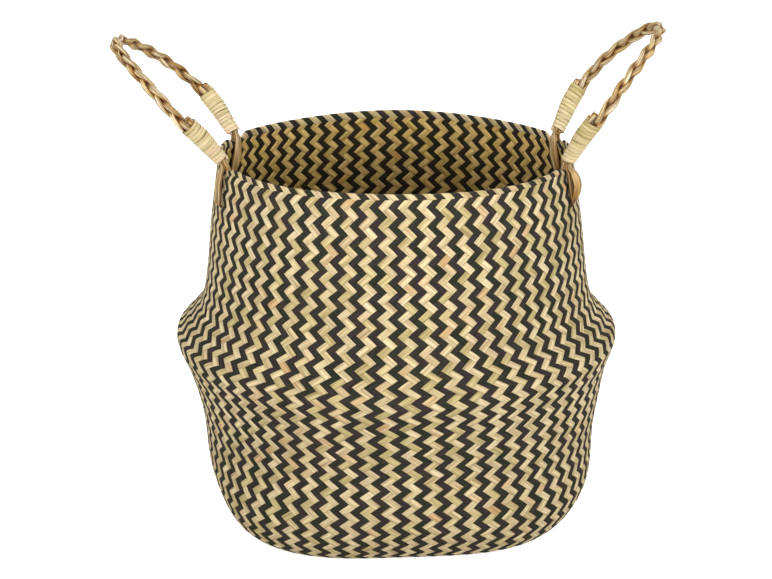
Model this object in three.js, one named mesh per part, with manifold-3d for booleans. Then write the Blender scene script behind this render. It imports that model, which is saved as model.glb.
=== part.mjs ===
// Woven seagrass belly basket with two plaited loop handles.
// Millimetres, +Z up. The origin is the centre of the flat base, on the floor.
// The handles stand at the left (-X) and right (+X) and swing about axes along Y.

import * as THREE from 'three';
import { mergeVertices } from 'three/addons/utils/BufferGeometryUtils.js';
import Module from 'manifold-3d';

const wasm = await Module();
wasm.setup();

// Woven body, outside radii and heights from the floor up to the rim.
const baseRadius = 111;
const heelRadius = 139.5;
const heelHeight = 7.5;
const lowerRadius = 157.5;
const lowerHeight = 35.5;
const waistRadius = 158;
const waistHeight = 76;
const flankRadius = 166;
const flankHeight = 119.5;
const bellyRadius = 175;
const bellyHeight = 148;
const foldRadius = 166.5;
const foldHeight = 160;
const shoulderRadius = 153;
const shoulderHeight = 181.5;
const neckRadius = 145;
const neckHeight = 242;
const rimRadius = 137;
const rimHeight = 293;
const wallThickness = 3;

// The mat starts square, so the base is a rounded square that turns round further up: its four
// sides lie this far inside the radii above, and its corners as far outside.
const squareInset = 8.5;
const squareHeight = 79;

// Each tie pulls the soft rim down into a short dip, flat where the tie crosses it.
const dipDepth = 4;
const dipFlatHalfWidth = 7;
const dipHalfWidth = 19;
const dipReachDown = 26;
const dipFacetMargin = 4;

// Tie: a band of blades over the rim and through a slit in the wall.
const tieThickness = 1.7;
const tieWidthAtRim = 9;
const tieWidthAtSlit = 17;
const tieEntryDepth = 31;
const tieThroughHeight = 2.2;
const tieOuterClearance = 0.35;
const tieInnerClearance = 0.6;
const tieCornerRadius = 2.4;
const slitClearance = 0.4;
const slitOvercut = 6;
const knuckleRadius = 4.6;
const knuckleRise = 3.2;

// Handle loop, laid flat: across it from foot to foot, and up it from the hinge.
const footHalfSpacing = 46;
const legSplay = THREE.MathUtils.degToRad(20);
const legLength = 47;
const legEase = 11;
const loopReach = 121;
const archHalfWidth = 39;
const hingeClearRadius = 5;

// How far each handle leans out at its foot, and how much more it bends by its top.
const leftLean = THREE.MathUtils.degToRad(33);
const leftBend = THREE.MathUtils.degToRad(22);
const rightLean = THREE.MathUtils.degToRad(22.5);
const rightBend = THREE.MathUtils.degToRad(27.5);

// Three strand plait.
const strandRadius = 1.3;
const strandCount = 3;
const plaitSway = 3.3;
const plaitDepth = 2.5;
const plaitCrossings = 12;
const plaitOffset = -2.9;
const bundleSway = 2.5;
const bundleDepth = 2.2;
const bundleEase = 5;
const plaitSetback = 1.5;

// The folded strand ends lie beside the plait under the winding.
const foldedEndRadius = 2;
const foldedEndOffset = 3.4;
const foldedEndProud = 5.5;
const foldedEndFlare = 1.1;

// Winding of flat strip round each leg.
const windingStripWidth = 2.9;
const windingStripThickness = 0.7;
const windingGap = 0.5;
const windingTurns = 11;
const windingClearance = 0.45;
const windingSideEase = 0.5;

// Facet counts, the step for directions along a loop, and how close two points are one.
const azimuthStep = THREE.MathUtils.degToRad(9);
const profileSteps = 27;
const strandSides = 6;
const strandStepsPerTurn = 16;
const foldedEndSides = 8;
const foldedEndSteps = 9;
const windingStepsPerTurn = 14;
const knuckleSides = 12;
const knuckleRings = 8;
const tieCornerSteps = 3;
const directionStep = 0.4;
const weldDistance = 1e-4;

const bodyColour = 0xa38f63;
const strandColour = 0xbc945a;
const windingColour = 0xd8cc9c;
const foldedEndColour = 0xc9a266;
const tieColour = 0xae8047;

const fibreRoughness = 0.85;

function fibre(colour) {
  return new THREE.MeshStandardMaterial({ color: colour, roughness: fibreRoughness, metalness: 0 });
}

function lerp(from, to, amount) {
  return from + (to - from) * amount;
}

function smooth(amount) {
  const x = Math.min(Math.max(amount, 0), 1);
  return x * x * (3 - 2 * x);
}

// Closed solid through a list of rings of equal point count, with a fan over each end.
function loft(rings) {
  const count = rings[0].length;
  const positions = [];
  const triangles = [];
  for (const ring of rings) {
    for (const point of ring) {
      positions.push(point.x, point.y, point.z);
    }
  }
  for (let i = 0; i + 1 < rings.length; i += 1) {
    for (let j = 0; j < count; j += 1) {
      const a = i * count + j;
      const b = i * count + ((j + 1) % count);
      triangles.push(a, b, a + count, b, b + count, a + count);
    }
  }
  const ends = [[rings[0], 0, true], [rings[rings.length - 1], (rings.length - 1) * count, false]];
  for (const [ring, first, reversed] of ends) {
    const centre = ring.reduce((sum, point) => sum.add(point), new THREE.Vector3());
    centre.divideScalar(count);
    const middle = positions.length / 3;
    positions.push(centre.x, centre.y, centre.z);
    for (let j = 0; j < count; j += 1) {
      const a = first + j;
      const b = first + ((j + 1) % count);
      triangles.push(...(reversed ? [b, a, middle] : [a, b, middle]));
    }
  }
  const geometry = new THREE.BufferGeometry();
  geometry.setAttribute('position', new THREE.Float32BufferAttribute(positions, 3));
  geometry.setIndex(signedVolume(positions, triangles) < 0 ? flipped(triangles) : triangles);
  return geometry;
}

function signedVolume(positions, triangles) {
  const a = new THREE.Vector3();
  const b = new THREE.Vector3();
  const c = new THREE.Vector3();
  let volume = 0;
  for (let i = 0; i < triangles.length; i += 3) {
    a.fromArray(positions, 3 * triangles[i]);
    b.fromArray(positions, 3 * triangles[i + 1]);
    c.fromArray(positions, 3 * triangles[i + 2]);
    volume += a.dot(b.cross(c)) / 6;
  }
  return volume;
}

function flipped(triangles) {
  const result = [];
  for (let i = 0; i < triangles.length; i += 3) {
    result.push(triangles[i], triangles[i + 2], triangles[i + 1]);
  }
  return result;
}

function toSolid(geometry) {
  const bare = geometry.clone();
  bare.deleteAttribute('normal');
  bare.deleteAttribute('uv');
  const merged = mergeVertices(bare, weldDistance);
  return new wasm.Manifold(new wasm.Mesh({
    numProp: 3,
    vertProperties: new Float32Array(merged.attributes.position.array),
    triVerts: new Uint32Array(merged.index.array),
  }));
}

function toGeometry(solid) {
  const mesh = solid.getMesh();
  const geometry = new THREE.BufferGeometry();
  geometry.setAttribute('position', new THREE.BufferAttribute(mesh.vertProperties, 3));
  geometry.setIndex(new THREE.BufferAttribute(mesh.triVerts, 1));
  return geometry;
}

// Outside of the wall, as one smooth curve of (radius, height) from the base edge to the rim.
const outsideCurve = new THREE.SplineCurve([
  new THREE.Vector2(baseRadius, 0),
  new THREE.Vector2(heelRadius, heelHeight),
  new THREE.Vector2(lowerRadius, lowerHeight),
  new THREE.Vector2(waistRadius, waistHeight),
  new THREE.Vector2(flankRadius, flankHeight),
  new THREE.Vector2(bellyRadius, bellyHeight),
  new THREE.Vector2(foldRadius, foldHeight),
  new THREE.Vector2(shoulderRadius, shoulderHeight),
  new THREE.Vector2(neckRadius, neckHeight),
  new THREE.Vector2(rimRadius, rimHeight),
]);

// Wall faces as lists of (radius, height), the inside one wall thickness in from the outside.
const outside = [];
const inside = [];
for (let i = 0; i <= profileSteps; i += 1) {
  const point = outsideCurve.getPoint(i / profileSteps);
  const tangent = outsideCurve.getTangent(i / profileSteps);
  outside.push(point);
  const inset = new THREE.Vector2(-tangent.y, tangent.x).multiplyScalar(wallThickness);
  inside.push(point.clone().add(inset));
}
inside[0].set(baseRadius, wallThickness);
inside[profileSteps].setY(rimHeight);

function radiusAt(face, height) {
  for (let i = face.length - 1; i > 0; i -= 1) {
    if (face[i - 1].y <= height) {
      const share = (height - face[i - 1].y) / (face[i].y - face[i - 1].y);
      return lerp(face[i - 1].x, face[i].x, share);
    }
  }
  return face[0].x;
}

// Hinge line of a handle: along Y through its two feet, over the middle of the rim.
const hingeRadius = rimRadius - wallThickness / 2;
const hingeX = Math.sqrt(hingeRadius ** 2 - footHalfSpacing ** 2);
const dippedRim = rimHeight - dipDepth;
const hingeHeight = dippedRim + knuckleRise;
const footAzimuth = Math.asin(footHalfSpacing / hingeRadius);
const footAzimuths = [Math.PI + footAzimuth, Math.PI - footAzimuth, -footAzimuth, footAzimuth];

function angleBetween(a, b) {
  return Math.abs(Math.atan2(Math.sin(a - b), Math.cos(a - b)));
}

function nearestFoot(azimuth) {
  return Math.min(...footAzimuths.map((foot) => angleBetween(azimuth, foot)));
}

// Azimuths of the body's facets: even steps, with closer ones round each dip.
const dipEdges = [-dipHalfWidth, -dipFlatHalfWidth, 0, dipFlatHalfWidth, dipHalfWidth];
const azimuths = [];
for (let angle = 0; angle < 2 * Math.PI - azimuthStep / 2; angle += azimuthStep) {
  if (nearestFoot(angle) * rimRadius > dipHalfWidth + dipFacetMargin) {
    azimuths.push(angle);
  }
}
for (const foot of footAzimuths) {
  for (const edge of dipEdges) {
    azimuths.push((foot + edge / rimRadius + 2 * Math.PI) % (2 * Math.PI));
  }
}
azimuths.sort((a, b) => a - b);

function dipAt(azimuth, height) {
  const along = nearestFoot(azimuth) * rimRadius;
  const across = smooth((dipHalfWidth - along) / (dipHalfWidth - dipFlatHalfWidth));
  const down = smooth(1 - (rimHeight - height) / dipReachDown);
  return dipDepth * across * down;
}

function insetAt(azimuth, height) {
  return squareInset * (1 - smooth(height / squareHeight)) * Math.cos(4 * azimuth);
}

function bodyRing(radius, height) {
  return azimuths.map((azimuth) => {
    const squared = radius - insetAt(azimuth, height);
    return new THREE.Vector3(
      squared * Math.cos(azimuth),
      squared * Math.sin(azimuth),
      height - dipAt(azimuth, height),
    );
  });
}

// A slit for each tie, between the woven strips of the wall.
const slitHeight = tieThroughHeight + 2 * slitClearance;
const slitWidth = tieWidthAtSlit + 2 * slitClearance;
const entryHeight = rimHeight - tieEntryDepth;

function slit(azimuth) {
  const box = new THREE.BoxGeometry(wallThickness + 2 * slitOvercut, slitWidth, slitHeight);
  const radius = radiusAt(outside, entryHeight) - wallThickness / 2;
  box.translate(radius, 0, entryHeight);
  box.rotateZ(azimuth);
  return toSolid(box);
}

function wovenBody() {
  const rings = [
    ...outside.map((point) => bodyRing(point.x, point.y)),
    ...inside.slice().reverse().map((point) => bodyRing(point.x, point.y)),
  ];
  let solid = toSolid(loft(rings));
  for (const azimuth of footAzimuths) {
    solid = solid.subtract(slit(azimuth));
  }
  return toGeometry(solid);
}

// Turns an outline of (radius, height) into a band, fanned out towards the slit.
function band(outline, width) {
  const geometry = new THREE.ExtrudeGeometry(outline, {
    depth: width,
    bevelEnabled: false,
    curveSegments: tieCornerSteps,
  });
  geometry.translate(0, 0, -width / 2);
  geometry.rotateX(Math.PI / 2);
  const position = geometry.attributes.position;
  for (let i = 0; i < position.count; i += 1) {
    const share = Math.min(Math.max((rimHeight - position.getZ(i)) / tieEntryDepth, 0), 1);
    const fan = lerp(1, tieWidthAtSlit / tieWidthAtRim, share);
    position.setY(i, position.getY(i) * fan);
  }
  return toSolid(geometry);
}

// One tie: a closed band round the rim through the slit, with the round knuckle on top
// where its blades gather and the handle's leg turns.
function tie(azimuth) {
  const throughTop = entryHeight + tieThroughHeight / 2;
  const throughBottom = entryHeight - tieThroughHeight / 2;
  const gapOut = (height) => radiusAt(outside, height) + tieOuterClearance;
  const gapIn = (height) => radiusAt(inside, height) - tieInnerClearance;
  const gapTop = dippedRim + tieOuterClearance;
  const top = gapTop + tieThickness;

  const hole = new THREE.Shape();
  hole.moveTo(gapIn(throughTop), throughTop);
  hole.lineTo(gapOut(throughTop), throughTop);
  hole.lineTo(gapOut(rimHeight), gapTop);
  hole.lineTo(gapIn(rimHeight), gapTop);
  hole.closePath();

  const outer = new THREE.Shape();
  outer.moveTo(gapIn(throughBottom) - tieThickness, throughBottom);
  outer.lineTo(gapOut(throughBottom) + tieThickness, throughBottom);
  outer.lineTo(gapOut(rimHeight) + tieThickness, top - tieCornerRadius);
  outer.quadraticCurveTo(
    gapOut(rimHeight) + tieThickness,
    top,
    gapOut(rimHeight) + tieThickness - tieCornerRadius,
    top,
  );
  outer.lineTo(gapIn(rimHeight) - tieThickness + tieCornerRadius, top);
  outer.quadraticCurveTo(
    gapIn(rimHeight) - tieThickness,
    top,
    gapIn(rimHeight) - tieThickness,
    top - tieCornerRadius,
  );
  outer.closePath();

  const knuckle = new THREE.SphereGeometry(knuckleRadius, knuckleSides, knuckleRings);
  knuckle.translate(hingeRadius, 0, hingeHeight);
  const solid = band(outer, tieWidthAtRim)
    .add(toSolid(knuckle))
    .subtract(band(hole, 2 * tieWidthAtSlit));
  const geometry = toGeometry(solid);
  geometry.rotateZ(azimuth);
  return geometry;
}

// Centre line of the flat loop: a straight leg, a round arch and a straight leg.
const legDirection = new THREE.Vector2(Math.sin(legSplay), Math.cos(legSplay));
const footPoint = new THREE.Vector2(footHalfSpacing, 0);
const legTop = footPoint.clone().addScaledVector(legDirection, legLength);
const legTopEase = legTop.clone().addScaledVector(legDirection, legEase);
const archEase = new THREE.Vector2(archHalfWidth, loopReach);
const archTop = new THREE.Vector2(0, loopReach);
const mirrored = (point) => new THREE.Vector2(-point.x, point.y);

const flatLoop = new THREE.CurvePath();
flatLoop.add(new THREE.LineCurve(mirrored(footPoint), mirrored(legTop)));
flatLoop.add(new THREE.CubicBezierCurve(
  mirrored(legTop), mirrored(legTopEase), mirrored(archEase), archTop,
));
flatLoop.add(new THREE.CubicBezierCurve(archTop, archEase, legTopEase, legTop));
flatLoop.add(new THREE.LineCurve(legTop, footPoint));
const loopLength = flatLoop.getLength();

// A handle's loop in space: it leans out at the hinge and bends further towards its top.
class HandleLoop {
  constructor(side, lean, bend) {
    this.side = side;
    this.lean = lean;
    this.bend = bend;
  }

  // Frame at an arc length from the front foot: the point, the run, and the direction
  // square to the loop that faces the basket, with the direction across the cord.
  frame(arc) {
    const flat = flatLoop.getPoint(arc / loopLength);
    const before = flatLoop.getPoint(Math.max(arc - directionStep, 0) / loopLength);
    const after = flatLoop.getPoint(Math.min(arc + directionStep, loopLength) / loopLength);
    const run = after.sub(before).normalize();
    const angle = this.lean + this.bend * flat.y / loopReach;
    const bow = loopReach / this.bend;
    const out = bow * (Math.cos(this.lean) - Math.cos(angle));
    const up = bow * (Math.sin(angle) - Math.sin(this.lean));
    const point = new THREE.Vector3(this.side * (hingeX + out), flat.x, hingeHeight + up);
    const along = new THREE.Vector3(
      this.side * Math.sin(angle) * run.y,
      run.x,
      Math.cos(angle) * run.y,
    );
    const inward = new THREE.Vector3(-this.side * Math.cos(angle), 0, Math.sin(angle));
    const across = new THREE.Vector3().crossVectors(along, inward);
    return { point, along, inward, across };
  }

  // Point beside the centre line, by its offsets across the cord and towards the basket.
  beside(arc, across, inward) {
    const frame = this.frame(arc);
    return frame.point.addScaledVector(frame.across, across).addScaledVector(frame.inward, inward);
  }
}

// Round tube through a list of centres, its rings square to the path.
function roundTube(centres, radius, sides, reference) {
  const rings = centres.map((centre, i) => {
    const before = centres[Math.max(i - 1, 0)];
    const after = centres[Math.min(i + 1, centres.length - 1)];
    const along = new THREE.Vector3().subVectors(after, before).normalize();
    const first = reference(i).addScaledVector(along, -reference(i).dot(along)).normalize();
    const second = new THREE.Vector3().crossVectors(along, first);
    const ring = [];
    for (let j = 0; j < sides; j += 1) {
      const turn = 2 * Math.PI * j / sides;
      ring.push(centre.clone()
        .addScaledVector(first, radius * Math.cos(turn))
        .addScaledVector(second, radius * Math.sin(turn)));
    }
    return ring;
  });
  return loft(rings);
}

// Plait: a strand sways from side to side once a turn and dips under and over twice.
const windingPitch = windingStripWidth + windingGap;
const windingLength = windingTurns * windingPitch + windingStripWidth;
const plaitStart = hingeClearRadius + windingLength + plaitSetback;
const plaitLength = loopLength - 2 * plaitStart;

function strandOffset(arc, strand) {
  const inPlait = Math.min(Math.max(arc - plaitStart, 0), plaitLength);
  const turn = 2 * Math.PI * (plaitCrossings / 6) * inPlait / plaitLength;
  const phase = 2 * turn - Math.PI / 2 + 2 * Math.PI * strand / strandCount;
  const fromEnd = Math.min(arc, loopLength - arc) - plaitStart;
  const open = smooth(fromEnd / bundleEase);
  const sway = lerp(bundleSway, plaitSway, open);
  const depth = lerp(bundleDepth, plaitDepth, open);
  return { across: depth * Math.sin(2 * phase), inward: plaitOffset + sway * Math.sin(phase) };
}

function strandArcs() {
  const arcs = [hingeClearRadius, plaitStart / 2];
  const steps = Math.round(strandStepsPerTurn * plaitCrossings / 3);
  for (let i = 0; i <= steps; i += 1) {
    arcs.push(plaitStart + plaitLength * i / steps);
  }
  arcs.push(loopLength - plaitStart / 2, loopLength - hingeClearRadius);
  return arcs;
}

function strandCentres(loop, strand) {
  return strandArcs().map((arc) => {
    const offset = strandOffset(arc, strand);
    return loop.beside(arc, offset.across, offset.inward);
  });
}

function strandSolid(loop, strand) {
  const arcs = strandArcs();
  const reference = (i) => loop.frame(arcs[i]).inward;
  return roundTube(strandCentres(loop, strand), strandRadius, strandSides, reference);
}

// Folded end: starts at the hinge end, and stands a little proud of the winding's top.
function foldedEnd(loop, atFront) {
  const top = plaitStart + foldedEndProud;
  const arcs = [];
  for (let i = 0; i <= foldedEndSteps; i += 1) {
    const arc = lerp(hingeClearRadius, top, i / foldedEndSteps);
    arcs.push(atFront ? arc : loopLength - arc);
  }
  const centres = arcs.map((arc) => {
    const fromFoot = atFront ? arc : loopLength - arc;
    const flare = foldedEndFlare * smooth((fromFoot - plaitStart) / foldedEndProud);
    return loop.beside(arc, 0, foldedEndOffset + flare);
  });
  const reference = (i) => loop.frame(arcs[i]).inward;
  return roundTube(centres, foldedEndRadius, foldedEndSides, reference);
}

// Winding: one flat strip wound round the leg from its foot up, with straight ends.
const bundleInward = foldedEndOffset + foldedEndRadius;
const bundleOutward = plaitOffset - bundleSway - strandRadius;
const bundleAcross = bundleDepth * Math.sin(Math.PI / 3) + strandRadius;
const windingCentre = (bundleInward + bundleOutward) / 2;
const windingHalfInward = (bundleInward - bundleOutward) / 2 + windingClearance;
const windingHalfAcross = Math.max(bundleAcross, foldedEndRadius) + windingClearance + windingSideEase;

function windingCentres(loop, atFront) {
  const steps = Math.round(windingTurns * windingStepsPerTurn);
  const stations = [];
  for (let i = 0; i <= steps; i += 1) {
    const turn = 2 * Math.PI * i / windingStepsPerTurn;
    const fromFoot = hingeClearRadius + windingStripWidth / 2 + windingPitch * turn / (2 * Math.PI);
    const arc = atFront ? fromFoot : loopLength - fromFoot;
    const frame = loop.frame(arc);
    const radiusInward = windingHalfInward + windingStripThickness / 2;
    const radiusAcross = windingHalfAcross + windingStripThickness / 2;
    const centre = frame.point.clone()
      .addScaledVector(frame.inward, windingCentre + radiusInward * Math.cos(turn))
      .addScaledVector(frame.across, radiusAcross * Math.sin(turn));
    const outward = new THREE.Vector3()
      .addScaledVector(frame.inward, radiusAcross * Math.cos(turn))
      .addScaledVector(frame.across, radiusInward * Math.sin(turn))
      .normalize();
    stations.push({ centre, outward, along: frame.along });
  }
  return withStraightEnds(stations);
}

function withStraightEnds(stations) {
  const extend = (end, next) => ({
    centre: end.centre.clone().add(
      new THREE.Vector3().subVectors(end.centre, next.centre).setLength(windingStripWidth),
    ),
    outward: end.outward,
    along: end.along,
  });
  const last = stations.length - 1;
  return [
    extend(stations[0], stations[1]),
    ...stations,
    extend(stations[last], stations[last - 1]),
  ];
}

function winding(loop, atFront) {
  const halfWidth = windingStripWidth / 2;
  const halfThickness = windingStripThickness / 2;
  const corners = [[1, 1], [1, -1], [-1, -1], [-1, 1]];
  const rings = windingCentres(loop, atFront).map((station) => corners.map(([out, up]) => (
    station.centre.clone()
      .addScaledVector(station.outward, out * halfThickness)
      .addScaledVector(station.along, up * halfWidth)
  )));
  return loft(rings);
}

// Least gap of a winding to itself, from the strip's edges one turn apart.
function windingSelfGap(loop, atFront) {
  const stations = windingCentres(loop, atFront);
  let least = Infinity;
  for (let i = 1; i + windingStepsPerTurn < stations.length - 1; i += 1) {
    const lower = stations[i];
    const upper = stations[i + windingStepsPerTurn];
    const apart = new THREE.Vector3().subVectors(upper.centre, lower.centre);
    least = Math.min(least, Math.abs(apart.dot(lower.along)) - windingStripWidth);
  }
  return least;
}

// Least gap between two strands of the plait, from their centre lines.
function strandGap(loop) {
  const lines = Array.from({ length: strandCount }, (_, strand) => strandCentres(loop, strand));
  const segment = new THREE.Line3();
  const nearest = new THREE.Vector3();
  let least = Infinity;
  for (let a = 0; a < strandCount; a += 1) {
    for (let b = 0; b < strandCount; b += 1) {
      for (let i = 1; a !== b && i < lines[b].length; i += 1) {
        segment.set(lines[b][i - 1], lines[b][i]);
        for (const point of lines[a]) {
          segment.closestPointToPoint(point, true, nearest);
          least = Math.min(least, nearest.distanceTo(point) - 2 * strandRadius);
        }
      }
    }
  }
  return least;
}

function named(name, geometry, colour) {
  const mesh = new THREE.Mesh(geometry, fibre(colour));
  mesh.name = name;
  return mesh;
}

function handle(name, loop) {
  const group = new THREE.Group();
  for (let strand = 0; strand < strandCount; strand += 1) {
    group.add(named(`${name}_handle_strand_${strand + 1}`, strandSolid(loop, strand), strandColour));
  }
  for (const [place, atFront] of [['front', true], ['back', false]]) {
    group.add(named(`${name}_${place}_winding`, winding(loop, atFront), windingColour));
    group.add(named(`${name}_${place}_folded_end`, foldedEnd(loop, atFront), foldedEndColour));
    console.log(`${name} ${place} winding, least gap to itself`,
      windingSelfGap(loop, atFront).toFixed(2), 'mm');
  }
  console.log(`${name} handle, least gap between strands`, strandGap(loop).toFixed(2), 'mm');
  return group;
}

const basket = new THREE.Group();
basket.add(named('woven_body', wovenBody(), bodyColour));
const tieNames = ['left_front_tie', 'left_back_tie', 'right_front_tie', 'right_back_tie'];
tieNames.forEach((name, i) => basket.add(named(name, tie(footAzimuths[i]), tieColour)));
basket.add(handle('left', new HandleLoop(-1, leftLean, leftBend)));
basket.add(handle('right', new HandleLoop(1, rightLean, rightBend)));

export default basket;
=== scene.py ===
"""Woven belly basket with two plaited loop handles, dressed over its CAD frame.

Every strip of the fabric, every blade of the plaits and ties and every turn of the windings is a
flat, crowned ribbon of its own. Shapes are worked out in millimetres, in the frame's own axes:
+Z up, the handles at -X and +X, the front at -Y. make_piece turns them to metres.
"""

import math
from typing import NamedTuple

import bpy
import numpy as np
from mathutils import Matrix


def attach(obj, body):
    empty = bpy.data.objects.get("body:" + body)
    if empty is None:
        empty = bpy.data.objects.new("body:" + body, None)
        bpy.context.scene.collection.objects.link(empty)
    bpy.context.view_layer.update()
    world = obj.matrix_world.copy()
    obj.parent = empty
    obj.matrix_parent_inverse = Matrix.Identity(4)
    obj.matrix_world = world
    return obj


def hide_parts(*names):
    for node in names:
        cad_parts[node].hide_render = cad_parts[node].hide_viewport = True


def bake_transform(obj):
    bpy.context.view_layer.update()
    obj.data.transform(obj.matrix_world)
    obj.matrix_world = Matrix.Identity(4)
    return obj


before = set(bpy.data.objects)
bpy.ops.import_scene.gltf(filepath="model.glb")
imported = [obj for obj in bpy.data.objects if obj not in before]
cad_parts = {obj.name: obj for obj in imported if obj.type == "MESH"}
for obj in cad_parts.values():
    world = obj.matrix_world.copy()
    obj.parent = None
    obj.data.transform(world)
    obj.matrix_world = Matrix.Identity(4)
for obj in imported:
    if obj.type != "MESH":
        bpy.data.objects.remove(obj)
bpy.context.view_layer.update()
rng = np.random.default_rng(7)

# Outside of the wall, (radius, height) from the edge of the base to the rim.
WALL = np.array([
    (111, 0), (139.5, 7.5), (157.5, 35.5), (158, 76), (166, 119.5), (175, 148), (166.5, 160),
    (153, 181.5), (145, 242), (137, 293),
], float)
BASE_RADIUS = WALL[0, 0]
RIM_RADIUS, RIM_HEIGHT = WALL[-1]
WALL_THICKNESS = 3.0

# The base is a rounded square: its sides lie inside the radii above and its corners outside, by
# an inset that is gone at the square's height.
SQUARE_INSET = 8.5
SQUARE_HEIGHT = 79.0

# The soft lower body stands a little turned, and a little to the right of the rim. The shift is
# full between two heights, and gone at the base and where the upper body starts.
SQUARE_TURN = math.radians(4)
LOWER_SHIFT = 3.0
SHIFT_FULL_FROM, SHIFT_FULL_TO = 40.0, 85.0
SHIFT_GONE = 145.0

# The rim dips under each tie: in full within the flat, and not at all from the reach on or
# further down.
DIP_DEPTH = 4.0
DIP_FLAT = 7.0
DIP_REACH = 19.0
DIP_DOWN = 26.0

# Heights over which the swell of the hand-woven wall grows, and the waves of its rim.
SWELL_HEIGHTS = (0, 60)
RIM_WAVE_HEIGHTS = (200, 290)

# Handles: hinge line over the rim and flat loop, as in the frame.
FOOT_HALF_SPACING = 46.0
HINGE_RADIUS = RIM_RADIUS - WALL_THICKNESS / 2
HINGE_X = math.sqrt(HINGE_RADIUS**2 - FOOT_HALF_SPACING**2)
HINGE_OVER_DIP = 3.2
HINGE_HEIGHT = RIM_HEIGHT - DIP_DEPTH + HINGE_OVER_DIP
FOOT_AZIMUTH = math.asin(FOOT_HALF_SPACING / HINGE_RADIUS)
LEG_SPLAY = math.radians(20)
LEG_LENGTH = 47.0
LEG_EASE = 11.0
LOOP_REACH = 121.0
ARCH_HALF_WIDTH = 39.0

# Each handle's side, the lean at its foot, and how much further it leans at its top.
LEAN = {
    "left": (-1, math.radians(33), math.radians(22)),
    "right": (1, math.radians(22.5), math.radians(27.5)),
}

# Plait, as in the frame: a strand sways to and fro once in three crossings. Under the windings
# the strands are gathered to the bundle's sway and depth.
PLAIT_START = 46.8
PLAIT_CROSSINGS = 12
CROSSINGS_A_SWAY = 3
PLAIT_OFFSET = -2.9
PLAIT_SWAY = 2.5
PLAIT_DEPTH = 2.1
PLAIT_OPENS_OVER = 5.0
BUNDLE_SWAY = 2.3
BUNDLE_DEPTH = 2.2

# Blades of a strand: staves round an oval, which turn by a radian over the twist's length. Their
# tones lie over a span, less a painted shade that darkens them within its distances from the
# plait's middle line, where the strands cross.
STRAND_BLADES = 6
STRAND_STATIONS = 250
STRAND_HALF_WIDE = 1.4
STRAND_HALF_DEEP = 1.15
STRAND_TWIST = 30.0
STRAND_ENDS = 5.0
STRAND_TONE = {"left": 0.42, "right": 0.48}
STRAND_TONE_SPAN = 0.65
BLADE_TONE_SPREAD = 0.05
CREASE_SHADE_REACH = (1.4, 3.8)
CREASE_SHADE_TONE = 0.85

# Folded ends, as in the frame: an oval of blades beside the plait. They stop a little short of
# the frame's, splay by a share, are drawn to the plait above the winding and brown at the cut.
FOLDED_OFFSET = 3.4
FOLDED_PROUD = 5.5
FOLDED_BLADES = 6
FOLDED_END_STATIONS = 24
FOLDED_OVAL_OFFSET = FOLDED_OFFSET - 0.4
FOLDED_HALF_ACROSS = 1.8
FOLDED_HALF_IN = 1.3
FOLDED_START = 25.0
FOLDED_SHORT = (1.8, 4.2)
FOLDED_SPLAY = 0.3
FOLDED_DRAWN_IN = 0.5
FOLDED_SPLAY_START = PLAIT_START - 6
FOLDED_TURN = 0.4
FOLDED_TONES = (0.5, 1.0)
CUT_LENGTH = 1.2
CUT_TONE = 0.6

# Windings, as in the frame. The tails are shares of a turn, and the low start lies under the foot
# of the winding. The edge and the overlap are the strip's half width in shares of the pitch, as
# it is placed and as it is drawn. The taper is the share by which the foot is slimmer.
WINDING_FOOT = 5.0
WINDING_TURNS = 12
WINDING_BELOW_PLAIT = 2.5
WINDING_CENTRE = -0.65
WINDING_HALF_IN = 6.75
WINDING_HALF_ACROSS = 4.4
WINDING_STEPS = 26
WINDING_TAIL = 0.1
WINDING_LOW_START = 1.5
WINDING_EDGE = 0.45
WINDING_OVERLAP = 0.53
WINDING_TAPER = 0.2
WINDING_TAPER_LENGTH = 26.0
WINDING_TILT = 0.07
WINDING_TONE = {"left": 0.62, "right": 0.42}
WINDING_TONE_RANGE = 0.5

# Half widths of the blades, from the narrowest to the broadest, and their half thicknesses. A
# strip's and a tie blade's widths are spread by shares of their own.
PLAIT_BLADE_HALF_WIDTH = (1.15, 1.45)
FOLDED_BLADE_HALF_WIDTH = (1.4, 1.8)
STRIP_WIDTH_SPREAD = (0.97, 1.04)
TIE_WIDTH_SPREAD = (0.75, 1.1)
PLAIT_BLADE_HALF_THICKNESS = 0.45
FOLDED_BLADE_HALF_THICKNESS = 0.5
WINDING_HALF_THICKNESS = 0.34
TIE_BLADE_HALF_THICKNESS = 0.42

# Weave: the mat has 64 strips each way, so 128 lean each way round the wall, and 136 rows from
# the middle of the base to the rim. The strips' half widths are in shares of their spacing, and
# the natural strips are cut wider than the black ones.
STRIPS = 128
STRIPS_EACH_WAY = STRIPS // 2
STRIP_HALF_WIDTH = {"natural": 0.55, "black": 0.49}
STRIP_WIDTH = 4.75
BASE_ROWS = 32
RIM_ROW = 136
FABRIC_INSET = 0.95
STRIP_HALF_THICKNESS = 0.3
WEAVE_RISE = 0.45
MAT_TURN = math.radians(-88.05)

# The rows round the middle of the mat have soft corners, which fade over some rows. From a
# higher row on they are rings.
MAT_SPACING = 0.92 * STRIP_WIDTH
SOFT_CORNER = 2.5
SOFT_CORNER_ROWS = (20, 36)
RING_ROW = BASE_ROWS + 10

# Stations in a cell of the weave, a strip's height beside a crossing where it changes side, in
# shares of its rise, and how far it wanders, in shares of the spacing.
CELL_STATIONS = (0.2, 0.8)
BESIDE_CHANGE = 0.6
STRIP_WANDER = 0.012

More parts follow.
